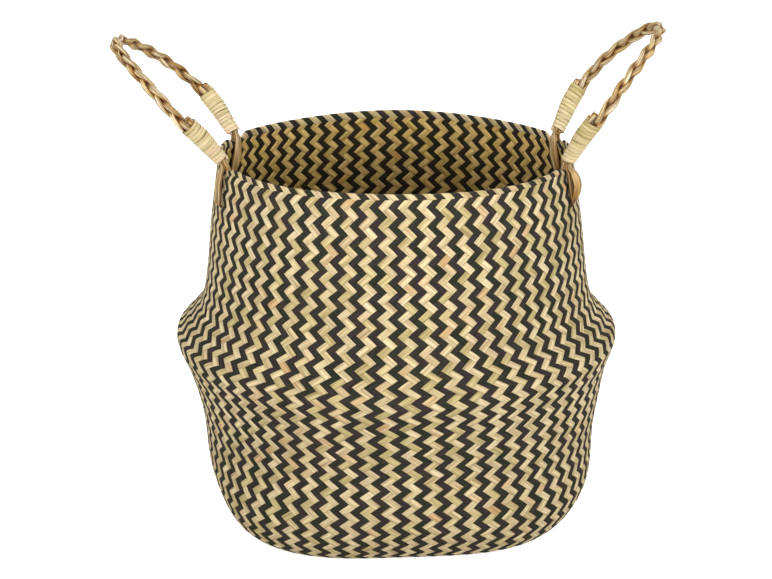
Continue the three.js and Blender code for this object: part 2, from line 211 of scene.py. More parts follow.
# Rim: where the halves of the strips end, in rows from the rim row. A half that climbs to the
# left goes on over the rim and is tucked in, and one that climbs to the right is cut under it.
FOLDED_STATIONS = np.array([-0.55, -0.3, -0.1, 0.1, 0.3, 0.55, 1.0, 1.5, 1.95, 2.4, 3.0])
CUT_STATIONS = np.array([-0.75, -0.35])
LAST_WOVEN = -0.9
LEVELLED_ROWS = (-2.6, -1.0)
NARROWED_ROWS = (1.8, 2.8)
END_NARROWING = 0.25
TUCKED_ROWS = (1.7, 2.5)
FOLD_HALF_ROWS = 0.5
FOLD_GAP = 0.12
TUCKED_LIFT = 0.1
TUCKED_THINNING = 0.5

# Tones run from 0 to 1 over a material's colours: the strips' own mean and spread, and how much
# one run of a strip differs from the next.
STRIP_TONE, STRIP_TONE_SPREAD = 0.47, 0.2
RUN_TONE_SPREAD = 0.13

# Ties: points on the leg are given by their distances from its foot, with the bundle's half
# sizes and how far it is gathered, and those on the wall by their depths under the rim, with the
# bulge of slack blades off it. Close blades start nearer the leg's middle and the wall.
TIE_LEG_POINTS = np.array([11.0, 8.0, 4.5])
TIE_LEG_GATHER = np.array([0.8, 0.76, 0.7])
TIE_HALF_ACROSS = 3.0
TIE_HALF_IN = 4.9
TIE_ENTRY_DEPTH = 31.0
TIE_DEPTHS = np.array([2.8, 7.6, 16.0, 24.5, TIE_ENTRY_DEPTH])
TIE_BULGE = np.array([0.1, 1.2, 1.8, 1.0, -0.2])
TIE_SLIT_DROP = 1.6
TIE_SLIT_INSET = FABRIC_INSET + 0.2
CLOSE_START = 0.4
CLOSE_STAND = 0.6
CLOSE_RIM_GAP = 1.08
FABRIC_THICKNESS = 2.2
NARROW_FAN = np.array([3.6, 4.6, 5.6, 5.6, 4.6])
WIDE_FAN = np.array([3.6, 5.2, 7.0, 8.4, 8.6])

# A tie blade's place across the bundle and its stand off the wall, both uneven, and its roll.
TIE_SHARE_SPREAD = 0.08
TIE_STAND = 0.8
TIE_STAND_STEP = 0.5
TIE_STAND_SPREAD = 0.3
TIE_ROLL_SPREAD = 0.3

# Down a tie, in depths under the hinge line: where a blade opens to its full width and draws
# together again, where one on edge turns to the front and back, and where it grows darker towards
# the slit.
TIE_FOLDED_WIDTH = 0.5
TIE_OPENS = (-3, 7)
TIE_DRAWS_IN = (20, 30)
TIE_DRAWN_WIDTH = 0.35
TIE_TURNS = (3, 11)
TIE_TURNS_BACK = (TIE_ENTRY_DEPTH - 6, TIE_ENTRY_DEPTH + 2)
TIE_DARKENS = (22, 30)
TIE_DARKER_TONE = 0.3

# Points of a tie's bend over the rim: from a little up the leg to three quarters as far down
# towards the rim.
BEND_START = 4.5
BEND_BELOW = 0.75


def smooth_step(x, start, end):
    """0 up to start, 1 from end on, and 3s^2 - 2s^3 where s is the share of the way between."""
    s = np.clip((x - start) / (end - start), 0.0, 1.0)
    return s * s * (3 - 2 * s)


def wave(x, size, rate, start=0.0):
    """A wave for what the hand does unevenly: size times the sine of rate times x plus start."""
    return size * np.sin(rate * x + start)


def unit(v):
    """Each row divided by its length."""
    return v / np.maximum(np.linalg.norm(v, axis=-1, keepdims=True), 1e-12)


def spline(points, per_span):
    """Uniform Catmull-Rom curve through the points: on each span the cubic whose end slopes are
    half the difference of the neighbouring points, with each end point doubled."""
    points = np.asarray(points, float)
    padded = np.concatenate([points[:1], points, points[-1:]])
    t = (np.arange(per_span) / per_span)[None, :, None]
    p0, p1, p2, p3 = (padded[i:len(points) - 1 + i][:, None, :] for i in range(4))
    v0, v1 = (p2 - p0) / 2, (p3 - p1) / 2
    cubed_term = 2 * p1 - 2 * p2 + v0 + v1
    squared_term = -3 * p1 + 3 * p2 - 2 * v0 - v1
    curve = cubed_term * t**3 + squared_term * t**2 + v0 * t + p1
    return np.concatenate([curve.reshape(-1, points.shape[1]), points[-1:]])


def lengths_along(line):
    """Distance along a polyline at each of its points."""
    return np.concatenate([[0.0], np.cumsum(np.linalg.norm(np.diff(line, axis=0), axis=1))])


# Meridian of the fabric: out along the flat base, round the heel and up the wall in even steps.
# Its direction is averaged over about 9 mm, so that the fabric rounds the fold.
MERIDIAN_STEPS = 1600
AVERAGED_STEPS = 33
OUTSIDE = spline(WALL, per_span=60)
base_r = np.linspace(0, BASE_RADIUS, 120)[:-1]
meridian = np.concatenate([np.stack([base_r, 0 * base_r], axis=1), OUTSIDE])
meridian_s = lengths_along(meridian)
even_s = np.linspace(0, meridian_s[-1], MERIDIAN_STEPS)
meridian = np.stack([np.interp(even_s, meridian_s, meridian[:, k]) for k in (0, 1)], axis=1)
margin = (AVERAGED_STEPS // 2, AVERAGED_STEPS // 2)
slope = np.pad(unit(np.gradient(meridian, even_s, axis=0)), (margin, (0, 0)), "edge")
kernel = np.hanning(AVERAGED_STEPS) / np.hanning(AVERAGED_STEPS).sum()
slope = unit(np.stack([np.convolve(slope[:, k], kernel, "valid") for k in (0, 1)], axis=1))
outward = np.stack([slope[:, 1], -slope[:, 0]], axis=1)
fabric_r = meridian[:, 0] - FABRIC_INSET * outward[:, 0]
fabric_z = meridian[:, 1] - FABRIC_INSET * outward[:, 1]

# Rows of the weave up the meridian: strips of one width that cross at a slant, so a row is
# w / (2 sqrt(1 - (w n / 2 pi r)^2)) tall where n strips each way go round a radius r. They are
# scaled so that the meridian ends a tenth of a row short of the rim row.
MERIDIAN_END_ROW = RIM_ROW - 0.1
squeeze = STRIP_WIDTH * STRIPS / (2 * math.pi * np.maximum(fabric_r, BASE_RADIUS))
row_height = STRIP_WIDTH / (2 * np.sqrt(1 - squeeze**2))
on_wall = even_s > BASE_RADIUS
wall_rows = np.concatenate([[0.0], np.cumsum(np.diff(even_s) / row_height[1:] * on_wall[1:])])
wall_rows *= (MERIDIAN_END_ROW - BASE_ROWS) / wall_rows[-1]
row_at = np.where(on_wall, BASE_ROWS + wall_rows, BASE_ROWS * even_s / BASE_RADIUS)


def nearest_foot(azimuth):
    """Angle from an azimuth to the nearest of the four handle feet."""
    feet = np.array([math.pi + FOOT_AZIMUTH, math.pi - FOOT_AZIMUTH, -FOOT_AZIMUTH, FOOT_AZIMUTH])
    apart = azimuth[..., None] - feet
    return np.abs(np.arctan2(np.sin(apart), np.cos(apart))).min(-1)


def rim_dip(azimuth, height):
    """How far the fabric is pulled down near a tie: full under it, gone a dip's reach away."""
    across = 1 - smooth_step(nearest_foot(azimuth) * RIM_RADIUS, DIP_FLAT, DIP_REACH)
    return DIP_DEPTH * across * smooth_step(height, RIM_HEIGHT - DIP_DOWN, RIM_HEIGHT)


def hand_made(azimuth, height):
    """Small swell of a hand-woven wall, (outward, upward): three and five slow waves round it
    that grow from nothing at the base, and four waves of the rim's height."""
    out = wave(azimuth, size=0.7, rate=3, start=0.6)
    out = out + wave(azimuth, size=0.5, rate=5, start=-height / 40)
    up = wave(azimuth, size=0.9, rate=4, start=1.9)
    return smooth_step(height, *SWELL_HEIGHTS) * out, smooth_step(height, *RIM_WAVE_HEIGHTS) * up


def squared(azimuth, radius, height):
    """How far the fabric lies inside its round at an azimuth: the cosine of four times the
    azimuth, largest at the edge of the base and fading towards its middle and up the wall."""
    inset = SQUARE_INSET * (1 - smooth_step(height, 0, SQUARE_HEIGHT))
    return inset * np.minimum(radius / BASE_RADIUS, 1) * np.cos(4 * (azimuth - SQUARE_TURN))


def on_fabric(azimuth, row, lift, rise=0.0):
    """Point on the wall's fabric at an azimuth and a row, lifted off its middle surface along
    the outward normal, and then raised. The shift to the right grows from nothing at the base,
    which stands where the frame's does, and is gone again above the lower body."""
    r, z = np.interp(row, row_at, fabric_r), np.interp(row, row_at, fabric_z)
    n_r, n_z = np.interp(row, row_at, outward[:, 0]), np.interp(row, row_at, outward[:, 1])
    out, up = hand_made(azimuth, z)
    height = z + lift * n_z + rise + up - rim_dip(azimuth, z)
    radius = r + lift * n_r + out - squared(azimuth, r, z)
    shifted = smooth_step(z, 0, SHIFT_FULL_FROM) * (1 - smooth_step(z, SHIFT_FULL_TO, SHIFT_GONE))
    right = radius * np.cos(azimuth) + LOWER_SHIFT * shifted
    return np.stack([right, radius * np.sin(azimuth), height], axis=-1)


def on_mat(p_mat, q_mat, p_side, q_side, lift, row=None, rise=0.0):
    """Point of the woven mat at mat coordinates (P, Q), one strip apart each, in the quadrant on
    the given sides of its two middle lines. Inside a quadrant the row is p + q and the azimuth
    grows with q - p. The first 32 rows are the base, where a flat square mat with soft corners
    turns gradually into rings. Above them the four quadrants close into the wall."""
    quadrant = np.where(q_side > 0, np.where(p_side > 0, 0, 1), np.where(p_side > 0, 3, 2))
    even = quadrant % 2 == 0
    p = np.where(even, p_mat * p_side, q_mat * q_side)
    q = np.where(even, q_mat * q_side, p_mat * p_side)
    plain_row = p + q
    soft = SOFT_CORNER * (1 - smooth_step(plain_row, *SOFT_CORNER_ROWS))
    rounding = np.hypot(p, soft) - np.abs(p) + np.hypot(q, soft) - np.abs(q) - soft
    turn = (q - p) / np.clip(plain_row, 1e-6, BASE_ROWS)
    azimuth = MAT_TURN + quadrant * math.pi / 2 + turn * math.pi / 4
    ringed = on_fabric(azimuth, plain_row + rounding if row is None else row, lift, rise)
    flat_p, flat_q = MAT_TURN - math.pi / 4, MAT_TURN + math.pi / 4
    square = np.stack([
        MAT_SPACING * (p_mat * math.cos(flat_p) + q_mat * math.cos(flat_q)),
        MAT_SPACING * (p_mat * math.sin(flat_p) + q_mat * math.sin(flat_q)),
        FABRIC_INSET - lift + 0 * p_mat,
    ], axis=-1)
    ring_share = smooth_step(plain_row, 0, BASE_ROWS)[..., None]
    return square + (ringed - square) * ring_share


# Section of a flat ribbon: across from edge to edge over its crowned face, and back under it.
SECTION_ACROSS = np.array([-1, -0.8, 0, 0.8, 1, 0.8, 0, -0.8])
SECTION_HEIGHT = np.array([0.1, 0.86, 1, 0.86, 0.1, -0.86, -1, -0.86])
SIDES = len(SECTION_ACROSS)

# Fibres' map: half widths that the ribbons have on it, in millimetres, and how far on each
# ribbon's own stretch of it starts, along and across, in centimetres.
MAP_HALF_WIDTH = {"strip": 2.3, "plait": 1.6, "folded": 1.4, "tie": 2.0}
MAP_STEP = np.array([3.7, 1.3])


def ribbon_faces(stations):
    """Quads between neighbouring sections, with three quads over each end."""
    ring, side = np.meshgrid(np.arange(stations - 1), np.arange(SIDES), indexing="ij")
    a, b = ring * SIDES + side, ring * SIDES + (side + 1) % SIDES
    walls = np.stack([a, b, b + SIDES, a + SIDES], axis=-1).reshape(-1, 4)
    cap = np.array([[0, 7, 6, 1], [1, 6, 5, 2], [2, 5, 4, 3]])
    return np.concatenate([walls, cap, cap[:, ::-1] + (stations - 1) * SIDES])


def signed_volume(points, faces):
    """Volume inside the faces, above zero where they point outwards: each quad's two triangles
    with the ribbon's middle."""
    p = points - points.mean(0)
    a, b, c, d = (p[faces[:, k]] for k in range(4))
    return (a * (np.cross(b, c) + np.cross(c, d))).sum()


class Ribbons:
    """Gathers ribbons of one piece: their points, faces, map and tones."""

    def __init__(self):
        self.points, self.faces, self.uv, self.tone, self.count = [], [], [], [], 0

    def add(self, points, length, half_width, tone, seed):
        """points is (stations, SIDES, 3), and length runs along them. The map is in centimetres
        along and across, and the tone has one number for each station or for each point."""
        stations = len(points)
        faces = ribbon_faces(stations)
        if signed_volume(points.reshape(-1, 3), faces) < 0:
            faces = faces[:, ::-1]
        self.faces.append(faces + self.count)
        self.points.append(points.reshape(-1, 3))
        along, across = np.meshgrid(length / 10, SECTION_ACROSS * half_width / 10, indexing="ij")
        self.uv.append(np.stack([along, across], -1).reshape(-1, 2) + MAP_STEP * seed)
        tone = tone if tone.ndim == 2 else tone[:, None]
        self.tone.append(np.broadcast_to(tone, (stations, SIDES)).reshape(-1))
        self.count += stations * SIDES


def add_object(name, data):
    """New object of a mesh, lamp or camera, linked to the scene."""
    added = bpy.data.objects.new(name, data)
    bpy.context.scene.collection.objects.link(added)
    return added


def make_piece(name, ribbons, material):
    """One mesh object from gathered ribbons, in metres, smooth, with its map and tones."""
    points = np.concatenate(ribbons.points) / 1000
    faces = np.concatenate(ribbons.faces)
    uv = np.concatenate(ribbons.uv)
    mesh = bpy.data.meshes.new(name)
    mesh.vertices.add(len(points))
    mesh.vertices.foreach_set("co", points.astype(np.float32).ravel())
    mesh.loops.add(faces.size)
    mesh.loops.foreach_set("vertex_index", faces.astype(np.int32).ravel())
    mesh.polygons.add(len(faces))
    mesh.polygons.foreach_set("loop_start", np.arange(0, faces.size, 4, dtype=np.int32))
    mesh.polygons.foreach_set("use_smooth", np.ones(len(faces), bool))
    layer = mesh.uv_layers.new(name="strip")
    layer.data.foreach_set("uv", uv[faces.ravel()].astype(np.float32).ravel())
    sections = len(points) // SIDES
    for key, values in (
        ("tone", np.concatenate(ribbons.tone)),
        # The underside mark is for painted bounce light: a warm tint on the faces towards the
        # basket's inside.
        ("under", np.tile(SECTION_HEIGHT < 0, sections)),
        # The edge mark is for the dark edge line: the ribbons' own brown edges and painted shade
        # where neighbouring ribbons meet.
        ("edge", np.tile(SECTION_ACROSS**4, sections)),
    ):
        attribute = mesh.attributes.new(key, "FLOAT", "POINT")
        attribute.data.foreach_set("value", values.astype(np.float32))
    mesh.update(calc_edges=True)
    mesh.validate()
    mesh.materials.append(material)
    return add_object(name, mesh)


def linear(code):
    """An sRGB hex colour such as "#C8A060" as linear RGBA."""
    parts = [int(code[i:i + 2], 16) / 255 for i in (1, 3, 5)]
    return [x / 12.92 if x <= 0.04045 else ((x + 0.055) / 1.055) ** 2.4 for x in parts] + [1.0]


def add_node(tree, kind, settings=None, links=None):
    """Adds a shader node, sets its properties and unlinked inputs, and links its other inputs."""
    node = tree.nodes.new("ShaderNode" + kind)
    for key, value in (settings or {}).items():
        if isinstance(key, str) and hasattr(node, key):
            setattr(node, key, value)
        else:
            node.inputs[key].default_value = value
    for key, socket in (links or {}).items():
        tree.links.new(socket, node.inputs[key])
    return node


def empty_tree(owner, output):
    """Node tree of a material or world with nothing but its output, and the output's socket."""
    owner.use_nodes = True
    owner.node_tree.nodes.clear()
    return owner.node_tree, add_node(owner.node_tree, output).inputs["Surface"]


# How far a blade's tone drifts along it, from one end of the drift to the other.
TONE_DRIFT = 0.9


def plant_fibre(name, tones, dark, under, fibre_mm, contrast, edge_line_and_crease_shade, roughness, gloss, bump_mm):
    """Dried plant blade, split flat. Its colour goes through the tones with each ribbon's own tone
    and drifts slowly along it, and its underside is tinted: painted bounce light, the warmer cast
    of the faces towards the basket's inside. Long fibres run down it fibre_mm apart: they show as
    fine streaks towards dark, in the colour and the bump, and its cut edges are a thin line of the
    same dark, partly their own brown and partly painted shade where neighbouring ribbons meet."""
    material = bpy.data.materials.new(name)
    tree, surface = empty_tree(material, "OutputMaterial")
    shader = add_node(tree, "BsdfPrincipled", {"Roughness": roughness, "Specular IOR Level": gloss})
    tree.links.new(shader.outputs[0], surface)
    place = add_node(tree, "UVMap", {"uv_map": "strip"}).outputs["UV"]
    tone, painted_bounce_mask, edge = (
        add_node(tree, "Attribute", {"attribute_name": key}).outputs["Fac"]
        for key in ("tone", "under", "edge"))

    def along_fibres(length_mm, width_mm, detail):
        scaled = add_node(tree, "Mapping", {"Scale": (10 / length_mm, 10 / width_mm, 1)},
                          {"Vector": place})
        noise = add_node(tree, "TexNoise", {"Scale": 1.0, "Detail": detail, "Roughness": 0.6},
                         {"Vector": scaled.outputs[0]})
        return noise.outputs["Fac"]

    drift = along_fibres(length_mm=22, width_mm=6, detail=2)
    fibres = along_fibres(length_mm=40 * fibre_mm, width_mm=fibre_mm, detail=3)
    coarse = along_fibres(length_mm=60 * fibre_mm, width_mm=3.2 * fibre_mm, detail=2)
    drifted = add_node(tree, "Math",
                       {"operation": "MULTIPLY_ADD", 1: TONE_DRIFT, 2: -TONE_DRIFT / 2}, {0: drift})
    shade = add_node(tree, "Math", {"operation": "ADD"}, {0: tone, 1: drifted.outputs[0]})
    ramp = add_node(tree, "ValToRGB", None, {"Fac": shade.outputs[0]})
    stops = ramp.color_ramp.elements
    while len(stops) < len(tones):
        stops.new(0.5)
    for i, code in enumerate(tones):
        stops[i].position = i / (len(tones) - 1)
        stops[i].color = linear(code)
    streak = add_node(tree, "Math", {"operation": "MULTIPLY"}, {0: fibres, 1: coarse})
    streaked = add_node(tree, "MapRange",
                        {"From Min": 0.12, "From Max": 0.34, "To Min": contrast, "To Max": 0.0},
                        {"Value": streak.outputs[0]})
    # Dark edge line: partly the blade's own brown edge, partly painted shade in the crease between
    # neighbouring ribbons.
    edge_and_crease_darkness = add_node(tree, "MapRange",
                     {"From Min": 0.35, "From Max": 0.95, "To Min": 0.0, "To Max": edge_line_and_crease_shade},
                     {"Value": edge})
    darker = add_node(tree, "Math", {"operation": "MAXIMUM"},
                      {0: streaked.outputs[0], 1: edge_and_crease_darkness.outputs[0]})
    colour = add_node(tree, "Mix", {"data_type": "RGBA", 7: linear(dark)},
                      {0: darker.outputs[0], 6: ramp.outputs["Color"]})
    # Painted bounce light: the underside, which on the weave faces the basket's inside, is
    # multiplied by a warm tint.
    tinted = add_node(tree, "Mix",
                      {"data_type": "RGBA", "blend_type": "MULTIPLY", 7: linear(under)},
                      {0: painted_bounce_mask, 6: colour.outputs[2]})
    tree.links.new(tinted.outputs[2], shader.inputs["Base Color"])
    relief = add_node(tree, "Bump", {"Strength": 0.6, "Distance": bump_mm / 1000},
                      {"Height": streak.outputs[0]})
    tree.links.new(relief.outputs[0], shader.inputs["Normal"])
    return material


# Dried sedge, split flat and left its own colour: straw, a little greener or redder from strip
# to strip, dry, with long fibres. They are about half a millimetre apart, drawn at 0.8 to show.
# Its under tint is painted bounce light, the warmer golden cast of the basket's inside, and its
# edge line is partly painted shade between the strips.
natural_strip = plant_fibre(
    "dried_sedge_natural",
    tones=["#BFB17A", "#D0BF89", "#DECB9C", "#E2D1A6", "#DEC69A", "#D2AE7A"],
    dark="#765626", under="#FFF0BE", fibre_mm=0.8, contrast=0.7, edge_line_and_crease_shade=0.85,
    roughness=0.68, gloss=0.3, bump_mm=0.25)
# The same strip dyed black: matt charcoal with a green, violet or brown cast where the dye is thin.
# Its under tint is painted bounce light, the warmer cast of the basket's inside, and its edge line
# is partly painted shade between the strips.
black_strip = plant_fibre(
    "dried_sedge_dyed_black",
    tones=["#2D3226", "#33342B", "#383430", "#3C3334", "#3F392D"],
    dark="#1A1912", under="#E8DCC0", fibre_mm=0.8, contrast=0.5, edge_line_and_crease_shade=0.3,
    roughness=0.85, gloss=0.05, bump_mm=0.25)
# Plaited blades, twisted while damp: golden tan, with brown in their creases that is painted shade,
# as is part of their dark edge line.
plait_blade = plant_fibre(
    "plaited_sedge_blade",
    tones=["#54300E", "#9A6826", "#CC9E58", "#DFC48A", "#F3E2BC"],
    dark="#452A0E", under="#FFFFFF", fibre_mm=0.8, contrast=0.75, edge_line_and_crease_shade=0.95,
    roughness=0.55, gloss=0.4, bump_mm=0.3)
# Winding strip: the pale inner face of the stalk, smooth and slightly glossy. Its dark edge line is
# partly painted shade between the turns.
winding_strip = plant_fibre(
    "wound_sedge_inner_face",
    tones=["#B4A268", "#CBB981", "#DBC998", "#E2CFA4", "#E6CBA6"],
    dark="#6E5A2C", under="#FFFFFF", fibre_mm=0.7, contrast=0.5, edge_line_and_crease_shade=0.9,
    roughness=0.5, gloss=0.45, bump_mm=0.2)
# Tie blades: whole blades bent over the rim, darker towards the slit, with a dark edge line that is
# partly their own brown and partly painted shade between the blades.
tie_blade = plant_fibre(
    "bent_sedge_blade",
    tones=["#5E3C16", "#A67838", "#D0A664", "#E3C48C", "#EDD8A8"],
    dark="#35200A", under="#FFFFFF", fibre_mm=0.8, contrast=0.75, edge_line_and_crease_shade=0.95,
    roughness=0.55, gloss=0.4, bump_mm=0.3)


def strip_cells(family, index):
    """Signs of one strip's cells from rim to rim, 1 where it shows outside and -1 where it is
    under, with whether each of its two halves climbs the wall to the left. A "/" strip is on top
    where row mod 4 is 0 or 1, and a "\\" strip where it is 2 or 3."""
    n = int(abs(index) - 0.5)
    cells = RIM_ROW - n
    band = (n + np.arange(cells)) % 4
    right_climbing = np.where(band < 2, 1, -1)
    positive = index > 0
    forward_left = positive if family == 0 else not positive
    ahead = -right_climbing if forward_left else right_climbing
    behind = right_climbing if forward_left else -right_climbing
    return np.concatenate([behind[::-1], ahead]), not forward_left, forward_left


def strip_stations(family, index):
    """Stations of one strip, two to a cell: its running coordinate, its height over the middle
    surface in shares of the rise, and its run number. At its ends come those past the rim row
    of a half that folds over it, or those of a half that is cut under it."""
    sign, left_behind, left_ahead = strip_cells(family, index)
    half = len(sign) // 2
    reach = RIM_ROW - abs(index)
    before = np.concatenate([sign[:1], sign[:-1]])
    after = np.concatenate([sign[1:], sign[-1:]])
    start = np.arange(-half, half)
    run = np.repeat(np.concatenate([[0], np.cumsum(sign[1:] != sign[:-1])]), 2)
    place = np.stack([start + share for share in CELL_STATIONS], 1).ravel()
    height = np.stack([
        np.where(neighbour == sign, sign, BESIDE_CHANGE * sign) for neighbour in (before, after)
    ], 1).ravel()

    woven = np.abs(place) - reach < LAST_WOVEN
    behind = FOLDED_STATIONS if left_behind else CUT_STATIONS
    ahead = FOLDED_STATIONS if left_ahead else CUT_STATIONS
    added = (len(behind), len(ahead))
    place = np.concatenate([-(reach + behind[::-1]), place[woven], reach + ahead])
    end_heights = (1.0 if left_behind else -1.0, 1.0 if left_ahead else -1.0)
    height = np.pad(height[woven], added, constant_values=end_heights)
    return place, height, np.pad(run[woven], added, "edge")


def over_rim(row, height, level):
    """Lift off the fabric, rise over the rim, and row on the wall, of a strip's section. From
    half a row before the rim row its middle goes round half a circle, out to in, and then down
    the inside as the mirror image of its climb, to an end that is tucked in, half as thick."""
    past = row - RIM_ROW
    inner = -WEAVE_RISE - 2 * STRIP_HALF_THICKNESS - FOLD_GAP
    middle, radius = (WEAVE_RISE + inner) / 2, (WEAVE_RISE - inner) / 2
    roll = np.clip((past + FOLD_HALF_ROWS) / (2 * FOLD_HALF_ROWS), 0, 1) * math.pi
    folding = past > -FOLD_HALF_ROWS
    tuck = smooth_step(past, *TUCKED_ROWS)
    crown = SECTION_HEIGHT[None, :] * STRIP_HALF_THICKNESS * (1 - TUCKED_THINNING * tuck)
    turned = folding & (level > 0)
    lift = np.where(turned, middle + (radius + crown) * np.cos(roll), height * WEAVE_RISE + crown)
    lift = lift + tuck * (TUCKED_LIFT - inner)
    rise = np.where(turned, (radius + crown) * np.sin(roll), 0.0)
    mirrored = RIM_ROW - FOLD_HALF_ROWS - np.maximum(past - FOLD_HALF_ROWS, 0)
    return lift, rise, np.where(folding, mirrored, row)


def woven_strip(family, index, half_width):
    """Points of one strip, (stations, SIDES, 3), and its run numbers. Near the rim the strip's
    sections turn level with it."""
    place, height, run = strip_stations(family, index)
    width = half_width * rng.uniform(*STRIP_WIDTH_SPREAD)
    phase = rng.uniform(0, 2 * math.pi, 2)
    wander = wave(place, size=STRIP_WANDER, rate=1 / 9, start=phase[0])
    wander = wander + wave(place, size=STRIP_WANDER / 2, rate=1 / 4.1, start=phase[1])
    past = np.abs(place) - (RIM_ROW - abs(index))
    narrowed = width * (1 - END_NARROWING * smooth_step(past, *NARROWED_ROWS))
    const = index + wander[:, None] + narrowed[:, None] * SECTION_ACROSS[None, :]
    level = smooth_step(past[:, None], *LEVELLED_ROWS)
    running = np.abs(place)[:, None] - level * (np.abs(const) - abs(index))
    row = running + np.abs(const)
    lift, rise, flat_row = over_rim(row, height[:, None], level)

    side = np.sign(place)[:, None]
    coords = (side * running, const)
    sides = (side, np.full_like(side, np.sign(index)))
    if family == 1:
        coords, sides = coords[::-1], sides[::-1]
    low_rows = on_mat(*coords, *sides, lift, None, rise)
    high_rows = on_mat(*coords, *sides, lift, flat_row, rise)
    return np.where((row < RING_ROW)[..., None], low_rows, high_rows), run


def weave():
    """All strips of the fabric in eight pieces: two directions of the mat, two halves of each
    and two colours. Neighbouring strips take turns, natural and black."""
    pieces = []
    half = STRIPS_EACH_WAY // 2
    for family, direction in enumerate(("along", "across")):
        for part in (0, 1):
            for shade, colour in enumerate(("natural", "black")):
                gathered = Ribbons()
                low = -half if part == 0 else 0
                for number in range(low, low + half):
                    index = number + 0.5
                    if int(abs(index) - 0.5) % 2 != shade:
                        continue
                    points, run = woven_strip(family, index, STRIP_HALF_WIDTH[colour])
                    own_tone = rng.normal(STRIP_TONE, STRIP_TONE_SPREAD)
                    run_tone = rng.normal(0, RUN_TONE_SPREAD, run.max() + 1)
                    tone = np.clip(own_tone + run_tone[run], 0, 1)
                    length = lengths_along(points.mean(1))
                    seed = number + half + 67 * family
                    gathered.add(points, length, MAP_HALF_WIDTH["strip"], tone, seed)
                material = natural_strip if colour == "natural" else black_strip
                name = f"weave_{direction}_{colour}_{part + 1}"
                pieces.append(make_piece(name, gathered, material))
    return pieces


def leg_and_arch():
    """Flat centre line of a handle, foot to foot: (across, up) on a straight leg, two quarter
    arches as cubic Bezier curves, and the other leg, with its arc lengths."""
    direction = np.array([math.sin(LEG_SPLAY), math.cos(LEG_SPLAY)])
    foot = np.array([FOOT_HALF_SPACING, 0.0])
    top = foot + direction * LEG_LENGTH
    ease = top + direction * LEG_EASE
    shoulder, crown = np.array([ARCH_HALF_WIDTH, LOOP_REACH]), np.array([0.0, LOOP_REACH])
    t = np.linspace(0, 1, 200)[:, None]
    quarter = ((1 - t)**3 * top + 3 * (1 - t)**2 * t * ease
               + 3 * (1 - t) * t**2 * shoulder + t**3 * crown)
    half = np.concatenate([foot + (top - foot) * np.linspace(0, 1, 60)[:-1, None], quarter])
    line = np.concatenate([half * [-1, 1], half[::-1][1:]])
    return line, lengths_along(line)


LOOP_LINE, LOOP_ARCS = leg_and_arch()
LOOP_LENGTH = LOOP_ARCS[-1]


def loop_frame(which, arc):
    """Frame of a handle at arc lengths from its front foot: the point, the run, the direction
    square to the loop that faces the basket, and across. The loop leans out at its foot and
    bends on by a constant curvature towards its top."""
    side, lean, bend = LEAN[which]
    arc = np.asarray(arc, float)

    def flat(a):
        return np.stack([np.interp(a, LOOP_ARCS, LOOP_LINE[:, k]) for k in (0, 1)], -1)

    here = flat(arc)
    run = unit(flat(np.minimum(arc + 1.0, LOOP_LENGTH)) - flat(np.maximum(arc - 1.0, 0)))
    angle = lean + bend * here[:, 1] / LOOP_REACH
    bow = LOOP_REACH / bend
    out, up = bow * (math.cos(lean) - np.cos(angle)), bow * (np.sin(angle) - math.sin(lean))
    point = np.stack([side * (HINGE_X + out), here[:, 0], HINGE_HEIGHT + up], -1)
    along = np.stack([side * np.sin(angle) * run[:, 1], run[:, 0], np.cos(angle) * run[:, 1]], -1)
    inward = np.stack([-side * np.cos(angle), 0 * angle, np.sin(angle)], -1)
    return point, along, inward, np.cross(along, inward)


def beside(which, arc, across, inward):
    """Point beside a handle's centre line."""
    point, _, face_in, face_across = loop_frame(which, arc)
    return point + face_across * np.reshape(across, (-1, 1)) + face_in * np.reshape(inward, (-1, 1))


def arc_of(from_foot, at_front):
    """Arc lengths from the front foot, of distances from one of the two feet."""
    return from_foot if at_front else LOOP_LENGTH - from_foot


def ribbon(centres, face, half_width, half_thickness):
    """Sections of a flat ribbon along a line: its width is square to the line and to the face
    direction, and its crown lies along the face direction made square to the line."""
    run = unit(np.gradient(centres, axis=0))
    face = unit(face - run * (face * run).sum(-1, keepdims=True))
    wide = np.cross(run, face)
    w = np.broadcast_to(half_width, (len(centres),))[:, None, None]
    across = wide[:, None] * SECTION_ACROSS[None, :, None] * w
    crown = face[:, None] * SECTION_HEIGHT[None, :, None] * half_thickness
    return centres[:, None] + across + crown


def oval(first, second, half_first, half_second, angle):
    """Place and outward face at an angle round an oval with the given half sizes along two
    directions: half sizes times cosine and sine, and for the face those the other way round."""
    cos, sin = np.cos(angle)[:, None], np.sin(angle)[:, None]
    half_first, half_second = np.reshape(half_first, (-1, 1)), np.reshape(half_second, (-1, 1))
    place = first * half_first * cos + second * half_second * sin
    return place, unit(first * half_second * cos + second * half_first * sin)


def strand_line(which, arc, strand):
    """Centre line of one strand of the plait: it sways across the loop's face as a sine and dips
    under and over twice as often, and inside the windings it is gathered a little closer."""
    length = LOOP_LENGTH - 2 * PLAIT_START
    sways = PLAIT_CROSSINGS / CROSSINGS_A_SWAY * (arc - PLAIT_START) / length
    phase = 2 * math.pi * (sways + strand / 3) - math.pi / 2
    from_foot = np.minimum(arc, LOOP_LENGTH - arc)
    opened = smooth_step(from_foot, PLAIT_START, PLAIT_START + PLAIT_OPENS_OVER)
    sway = BUNDLE_SWAY + (PLAIT_SWAY - BUNDLE_SWAY) * opened
    depth = BUNDLE_DEPTH + (PLAIT_DEPTH - BUNDLE_DEPTH) * opened
    return beside(which, arc, depth * np.sin(2 * phase), PLAIT_OFFSET + sway * np.sin(phase))


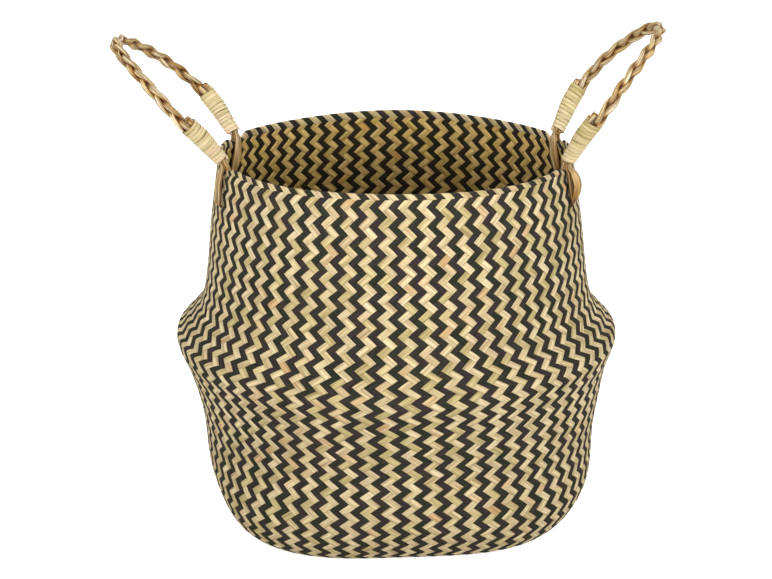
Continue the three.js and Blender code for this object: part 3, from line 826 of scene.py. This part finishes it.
def plait_strand(which, strand):
    """One strand: six broad blades laid round it like staves, turning slowly, on an oval that is
    wide in the plait's face and flatter through it. Their own tones are spread evenly from straw to
    tan, in steps of the golden ratio, and fall to brown near the plait's middle line: painted shade
    where the strands cross."""
    gathered = Ribbons()
    start = PLAIT_START - STRAND_ENDS
    arc = np.linspace(start, LOOP_LENGTH - start, STRAND_STATIONS)
    line = strand_line(which, arc, strand)
    run = unit(np.gradient(line, axis=0))
    _, _, face_in, _ = loop_frame(which, arc)
    wide = unit(face_in - run * (face_in * run).sum(-1, keepdims=True))
    deep = np.cross(run, wide)
    middle = beside(which, arc, 0, PLAIT_OFFSET)
    length = lengths_along(line)
    for blade in range(STRAND_BLADES):
        slip = wave(arc, size=0.35, rate=1 / 13, start=2.1 * blade + strand)
        turn = 2 * math.pi * blade / STRAND_BLADES + arc / STRAND_TWIST + slip
        swell = 1 + wave(arc, size=0.09, rate=1 / 6, start=1.7 * blade + strand)
        place, face = oval(wide, deep, STRAND_HALF_WIDE, STRAND_HALF_DEEP, turn)
        half_width = rng.uniform(*PLAIT_BLADE_HALF_WIDTH)
        points = ribbon(line + place * swell[:, None], face, half_width, PLAIT_BLADE_HALF_THICKNESS)
        from_middle = np.linalg.norm(points - middle[:, None], axis=-1)
        own_tone = STRAND_TONE[which] + STRAND_TONE_SPAN * ((0.618 * blade + 0.37 * strand) % 1)
        # Painted shade where the strands cross near the plait's middle line.
        crease_shade = 1 - smooth_step(from_middle, *CREASE_SHADE_REACH)
        tone = own_tone + rng.uniform(-BLADE_TONE_SPREAD, BLADE_TONE_SPREAD)
        tone = np.clip(tone - CREASE_SHADE_TONE * crease_shade, 0, 1)
        gathered.add(points, length, MAP_HALF_WIDTH["plait"], tone, blade + 7 * strand)
    return gathered


def winding(which, at_front):
    """One flat strip wound round a leg: an oval helix a strip's width a turn, each turn a little
    over the last, tapered to the foot, with small slips of the hand in tilt and pitch. It is
    greener towards the plait and redder towards the foot."""
    gathered = Ribbons()
    turn = np.linspace(-WINDING_TAIL, WINDING_TURNS + WINDING_TAIL, WINDING_TURNS * WINDING_STEPS)
    angle = 2 * math.pi * turn
    pitch = (PLAIT_START - WINDING_BELOW_PLAIT - WINDING_FOOT) / WINDING_TURNS
    start = WINDING_FOOT - WINDING_LOW_START + WINDING_EDGE * pitch
    climb = pitch * (WINDING_TURNS - 2 * WINDING_EDGE) + WINDING_LOW_START
    slip = wave(angle, size=0.22, rate=1.3, start=0.7) * np.sin(0.21 * angle)
    slip = slip + wave(angle, size=0.12, rate=0.37)
    from_foot = start + climb * turn / WINDING_TURNS + slip
    point, along, face_in, face_across = loop_frame(which, arc_of(from_foot, at_front))
    full = smooth_step(from_foot, WINDING_FOOT, WINDING_FOOT + WINDING_TAPER_LENGTH)
    taper = 1 - WINDING_TAPER * (1 - full)
    half_in = (WINDING_HALF_IN + wave(angle, size=0.2, rate=0.9)) * taper
    half_across = (WINDING_HALF_ACROSS + wave(angle, size=0.2, rate=1.1, start=math.pi / 2)) * taper
    place, face = oval(face_in, face_across, half_in, half_across, angle)
    centre = point + face_in * WINDING_CENTRE + place
    redder = WINDING_TONE_RANGE * (0.5 - turn / WINDING_TURNS)
    uneven = wave(angle, size=0.12, rate=0.31, start=1.0) + wave(angle, size=0.08, rate=1.7)
    tone = np.clip(WINDING_TONE[which] + redder + uneven, 0, 1)
    points = ribbon(centre, unit(face - along * WINDING_TILT), pitch * WINDING_OVERLAP,
                    WINDING_HALF_THICKNESS)
    gathered.add(points, lengths_along(centre), pitch / 2, tone, 3 + 2 * at_front)
    return gathered


def folded_end(which, at_front):
    """Cut ends of the strands, folded back beside the plait: blades on an oval that rise from
    under the winding, splay a little and stop at different heights, brown at the cut."""
    gathered = Ribbons()
    for blade in range(FOLDED_BLADES):
        top = PLAIT_START + FOLDED_PROUD - rng.uniform(*FOLDED_SHORT)
        from_foot = np.linspace(FOLDED_START, top, FOLDED_END_STATIONS)
        arc = arc_of(from_foot, at_front)
        splay = smooth_step(from_foot, FOLDED_SPLAY_START, PLAIT_START + FOLDED_PROUD)
        angle = 2 * math.pi * (blade + 0.5) / FOLDED_BLADES
        across = FOLDED_HALF_ACROSS * math.sin(angle) * (1 + FOLDED_SPLAY * splay)
        inward = FOLDED_OVAL_OFFSET + FOLDED_HALF_IN * math.cos(angle) - FOLDED_DRAWN_IN * splay
        centre = beside(which, arc, across, inward)
        _, _, face_in, face_across = loop_frame(which, arc)
        turn = angle + FOLDED_TURN
        face = face_in * math.cos(turn) + face_across * math.sin(turn)
        half_width = rng.uniform(*FOLDED_BLADE_HALF_WIDTH)
        points = ribbon(centre, face, half_width, FOLDED_BLADE_HALF_THICKNESS)
        cut = smooth_step(from_foot, top - CUT_LENGTH, top)
        tone = np.clip(rng.uniform(*FOLDED_TONES) - CUT_TONE * cut, 0, 1)
        gathered.add(points, from_foot, MAP_HALF_WIDTH["folded"], tone, blade + 11 * at_front)
    return gathered


class TieLayer(NamedTuple):
    """One layer of a tie's blades: how many, how far they bulge off the wall in shares of the
    usual bulge, their half width, half the width of the fan at each point, and tones that they
    take in turn. Broad blades are gathered to a share of the fan and roll less, and those on
    edge turn to the front on the way down. A layer is loose or close, on one face of the wall."""

    blades: int
    slack: float
    half_width: float
    fan: np.ndarray
    tones: tuple
    tone_spread: float = 0.15
    gather: float = 1.0
    rolling: float = 0.7
    on_edge: bool = False
    loose: bool = True
    inside: bool = False


# Close layers take darker tones than the loose ones that bulge over them: painted shade under the
# loose blades.
OUTSIDE_LAYERS = [
    TieLayer(blades=6, slack=0.9, half_width=0.9, fan=WIDE_FAN, tones=(0.52, 0.86)),
    TieLayer(blades=6, slack=0.3, half_width=0.9, fan=WIDE_FAN, tones=(0.1, 0.44), loose=False),
]
GATHERED_LAYERS = [
    TieLayer(blades=3, slack=3.0, half_width=3.0, fan=NARROW_FAN, tones=(0.42, 0.95, 0.7),
             tone_spread=0.05, gather=0.75, rolling=0.2, on_edge=True),
    TieLayer(blades=6, slack=0.3, half_width=3.0, fan=NARROW_FAN, tones=(0.4,),
             tone_spread=0.05, gather=0.75, rolling=0.2, loose=False),
]
INSIDE_LAYERS = [
    TieLayer(blades=6, slack=1.0, half_width=1.9, fan=NARROW_FAN, tones=(0.52, 0.86), inside=True),
    TieLayer(blades=5, slack=0.3, half_width=1.9, fan=NARROW_FAN, tones=(0.24, 0.58),
             loose=False, inside=True),
]


def wall_face(height, inside=False):
    """Radius of the wall's outside or inside face at a height above its belly."""
    upper = OUTSIDE[np.argmax(OUTSIDE[:, 0]):]
    radius = np.interp(height, upper[:, 1], upper[:, 0])
    return radius - (FABRIC_THICKNESS if inside else 0)


def tie_directions(which, at_front):
    """Directions out from the basket's middle and round it at the foot of a leg."""
    foot = math.pi - FOOT_AZIMUTH if which == "left" else FOOT_AZIMUTH
    azimuth = (2 * math.pi - foot) if at_front else foot
    radial = np.array([math.cos(azimuth), math.sin(azimuth), 0.0])
    return radial, np.array([-math.sin(azimuth), math.cos(azimuth), 0.0])


def tie_line(which, at_front, layer, share, stand):
    """Centre line of one tie blade, at a share of the way across the bundle and a stand off the
    wall, and the direction away from the wall. The line is a spline through three points on the
    leg, where the bundle's section is an oval, five on the wall, fanned out, and one in the
    slit."""
    radial, tangent = tie_directions(which, at_front)
    up = np.array([0.0, 0.0, 1.0])
    hand = 1 if layer.inside else -1
    start = 1.0 if layer.loose else CLOSE_START
    across = LEAN[which][0] * (1 if at_front else -1) * share * TIE_HALF_ACROSS
    inward = hand * TIE_HALF_IN * start * math.sqrt(1 - min(share**2, 0.98)) + WINDING_CENTRE
    leg = beside(which, arc_of(TIE_LEG_POINTS, at_front), across * TIE_LEG_GATHER,
                 inward * TIE_LEG_GATHER)

    levels = RIM_HEIGHT - TIE_DEPTHS
    fan = share * layer.fan
    reach = wall_face(levels, layer.inside) - hand * (stand + layer.slack * TIE_BULGE)
    if not layer.loose:
        reach[0] = reach[0] + hand * CLOSE_RIM_GAP
    wall = radial * reach[:, None] + tangent * fan[:, None] + up * levels[:, None]
    slit_reach = wall_face(levels[-1]) - TIE_SLIT_INSET
    slit = radial * slit_reach + tangent * fan[-1] + up * (levels[-1] - TIE_SLIT_DROP)
    return spline(np.concatenate([leg, wall, slit[None]]), per_span=7), radial * -hand


def tie_blades(which, at_front):
    """Blades of one leg from under its winding, over the rim and down both faces of the wall,
    fanned out to the slit that they pass through. On each face loose blades bulge over darker ones
    that lie close, their darker tones painted shade under the loose blades. At the right front they
    are fewer, broader and slacker outside, stand half on edge facing the front, and run together
    into a narrow slit."""
    gathered = Ribbons()
    outer = GATHERED_LAYERS if (which, at_front) == ("right", True) else OUTSIDE_LAYERS
    for number, layer in enumerate(outer + INSIDE_LAYERS):
        for blade in range(layer.blades):
            share = (blade + 0.5) / layer.blades * 2 - 1
            share = share + rng.uniform(-TIE_SHARE_SPREAD, TIE_SHARE_SPREAD)
            stand = (TIE_STAND + TIE_STAND_STEP * (blade % 2)) * (1 if layer.loose else CLOSE_STAND)
            stand = stand + rng.uniform(0, TIE_STAND_SPREAD)
            line, away = tie_line(which, at_front, layer, share * layer.gather, stand)
            down = HINGE_HEIGHT - line[:, 2]
            along = np.linspace(0, 1, len(line))
            roll = rng.uniform(-TIE_ROLL_SPREAD, TIE_ROLL_SPREAD)
            roll = roll + wave(along, size=layer.rolling, rate=3.6, start=1.9 * blade + number)
            if layer.on_edge:
                back = smooth_step(down, *TIE_TURNS_BACK)
                roll = roll + smooth_step(down, *TIE_TURNS) * (1 - back)
            wide = unit(np.cross(unit(np.gradient(line, axis=0)), away))
            face = unit(away * np.cos(roll)[:, None] + wide * np.sin(roll)[:, None])
            opened = TIE_FOLDED_WIDTH + (1 - TIE_FOLDED_WIDTH) * smooth_step(down, *TIE_OPENS)
            opened = opened - TIE_DRAWN_WIDTH * smooth_step(down, *TIE_DRAWS_IN)
            width = layer.half_width * rng.uniform(*TIE_WIDTH_SPREAD) * opened
            own_tone = layer.tones[blade % len(layer.tones)]
            own_tone = own_tone + rng.uniform(-layer.tone_spread, layer.tone_spread)
            tone = own_tone + wave(along, size=0.2, rate=5, start=1.7 * blade)
            tone = np.clip(tone - TIE_DARKER_TONE * smooth_step(down, *TIE_DARKENS), 0, 1)
            points = ribbon(line, face, width, TIE_BLADE_HALF_THICKNESS)
            seed = blade + 9 * number + 40 * at_front
            gathered.add(points, lengths_along(line), MAP_HALF_WIDTH["tie"], tone, seed)
    return gathered


def leg_bend(which, at_front):
    """Points in metres where a tie's bend over the rim starts and ends: a little up the leg from
    the hinge and a little down towards the rim from it."""
    start, hinge = beside(which, arc_of(np.array([BEND_START, 0.0]), at_front), 0, 0)
    end = hinge - (start - hinge) * BEND_BELOW
    return start / 1000, end / 1000


body_pieces = weave()
for piece in body_pieces:
    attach(piece, "basket")
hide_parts("woven_body")

for which in ("left", "right"):
    body = f"{which}_handle"
    for strand in range(3):
        blades = plait_strand(which, strand)
        piece = make_piece(f"{which}_plait_strand_{strand + 1}", blades, plait_blade)
        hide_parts(f"{which}_handle_strand_{strand + 1}")
        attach(piece, body)
    for place, at_front in (("front", True), ("back", False)):
        piece = make_piece(f"{which}_{place}_wound_strip", winding(which, at_front), winding_strip)
        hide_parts(f"{which}_{place}_winding")
        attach(piece, body)
        piece = make_piece(f"{which}_{place}_cut_ends", folded_end(which, at_front), plait_blade)
        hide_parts(f"{which}_{place}_folded_end")
        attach(piece, body)
        piece = make_piece(f"{which}_{place}_tie_blades", tie_blades(which, at_front), tie_blade)
        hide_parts(f"{which}_{place}_tie")
        start, end = leg_bend(which, at_front)
        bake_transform(piece)

# Floor and surroundings: how much more the floor glows, and how bright the surroundings are,
# where the camera or a reflection sees them, and the light that they give to the basket.
FLOOR_HALF_WIDTH = 6.0
FLOOR_GLOW = 0.8
SEEN_WORLD = 1.0
WORLD_LIGHT = 0.58

# Lamps: name, place, aim, diameter, spread in degrees, and power.
LAMPS = [
    ("key_left", (-1.15, -1.15, 0.54), (0, 0, 0.4), 0.5, 58, 1.12),
    ("key_right", (1.15, -1.15, 0.54), (0, 0, 0.4), 0.5, 58, 1.3),
    ("front", (0.0, -1.6, 0.62), (0, 0, 0.38), 0.5, 58, 0.86),
    ("top", (0.1, 0.0, 2.2), (0, 0, 0.15), 1.6, 180, 8.0),
    ("back", (0.3, 2.4, 1.2), (0, 0, 0.15), 1.6, 180, 16.0),
]

# Camera, in metres, degrees and millimetres of lens and sensor, with the sideways shift in
# shares of the frame.
CAMERA_BACK = 1.2995
CAMERA_UP = 0.611
CAMERA_DROP = 18.45
CAMERA_LENS = 80.1
CAMERA_SENSOR = 36
CAMERA_SHIFT = -0.0124


def seen_directly(tree):
    """Socket that is 1 for what the camera sees directly or in a reflection, else 0."""
    path = add_node(tree, "LightPath")
    either = add_node(tree, "Math", {"operation": "MAXIMUM"},
                      {0: path.outputs["Is Camera Ray"], 1: path.outputs["Is Glossy Ray"]})
    return either.outputs[0]


def paper_floor():
    """Pale matt paper floor that shows white to the camera and keeps the shadow."""
    mesh = bpy.data.meshes.new("floor")
    reach = FLOOR_HALF_WIDTH
    corners = [(-reach, -reach, 0), (reach, -reach, 0), (reach, reach, 0), (-reach, reach, 0)]
    mesh.from_pydata(corners, [], [(0, 1, 2, 3)])
    floor = add_object("floor", mesh)
    paper = bpy.data.materials.new("white_paper_floor")
    tree, surface = empty_tree(paper, "OutputMaterial")
    matt = add_node(tree, "BsdfDiffuse", {"Color": linear("#E4E4E4")})
    glow = add_node(tree, "Emission", {"Color": (1, 1, 1, 1), "Strength": FLOOR_GLOW})
    lit = add_node(tree, "AddShader", None, {0: matt.outputs[0], 1: glow.outputs[0]})
    shown = add_node(tree, "MixShader", None,
                     {0: seen_directly(tree), 1: matt.outputs[0], 2: lit.outputs[0]})
    tree.links.new(shown.outputs[0], surface)
    mesh.materials.append(paper)


def studio_light():
    """White surroundings, and five soft lamps at a plain level: three low ones in front, aimed
    at the rim with a narrow spread, one above and one behind. A new lamp shines straight down,
    so it is raised from there to its aim and then turned round to the aim's azimuth."""
    world = bpy.data.worlds.new("studio")
    bpy.context.scene.world = world
    tree, surface = empty_tree(world, "OutputWorld")
    soft, white = (
        add_node(tree, "Background", {"Color": (1, 1, 1, 1), "Strength": strength})
        for strength in (WORLD_LIGHT, SEEN_WORLD))
    both = add_node(tree, "MixShader", None,
                    {0: seen_directly(tree), 1: soft.outputs[0], 2: white.outputs[0]})
    tree.links.new(both.outputs[0], surface)
    for name, place, aim, diameter, spread, power in LAMPS:
        data = bpy.data.lights.new(name, "AREA")
        data.shape = "DISK"
        data.size = diameter
        data.energy = power
        data.spread = math.radians(spread)
        lamp = add_object(name, data)
        lamp.location = place
        toward = np.array(aim) - np.array(place)
        yaw = math.atan2(toward[1], toward[0])
        raised = math.acos(-toward[2] / np.linalg.norm(toward))
        lamp.rotation_euler = (0, -raised, yaw)


def set_camera():
    """Camera at the photograph's place, with the frame shifted by what the basket stands off its
    middle."""
    data = bpy.data.cameras.new("camera")
    data.sensor_width = CAMERA_SENSOR
    data.lens = CAMERA_LENS
    data.shift_x = CAMERA_SHIFT
    data.clip_start, data.clip_end = 0.05, 20
    camera = add_object("camera", data)
    camera.location = (0, -CAMERA_BACK, CAMERA_UP)
    camera.rotation_euler = (math.radians(90 - CAMERA_DROP), 0, 0)
    bpy.context.scene.camera = camera


paper_floor()
studio_light()
set_camera()
bpy.context.scene.view_settings.view_transform = "Standard"
bpy.context.view_layer.update()
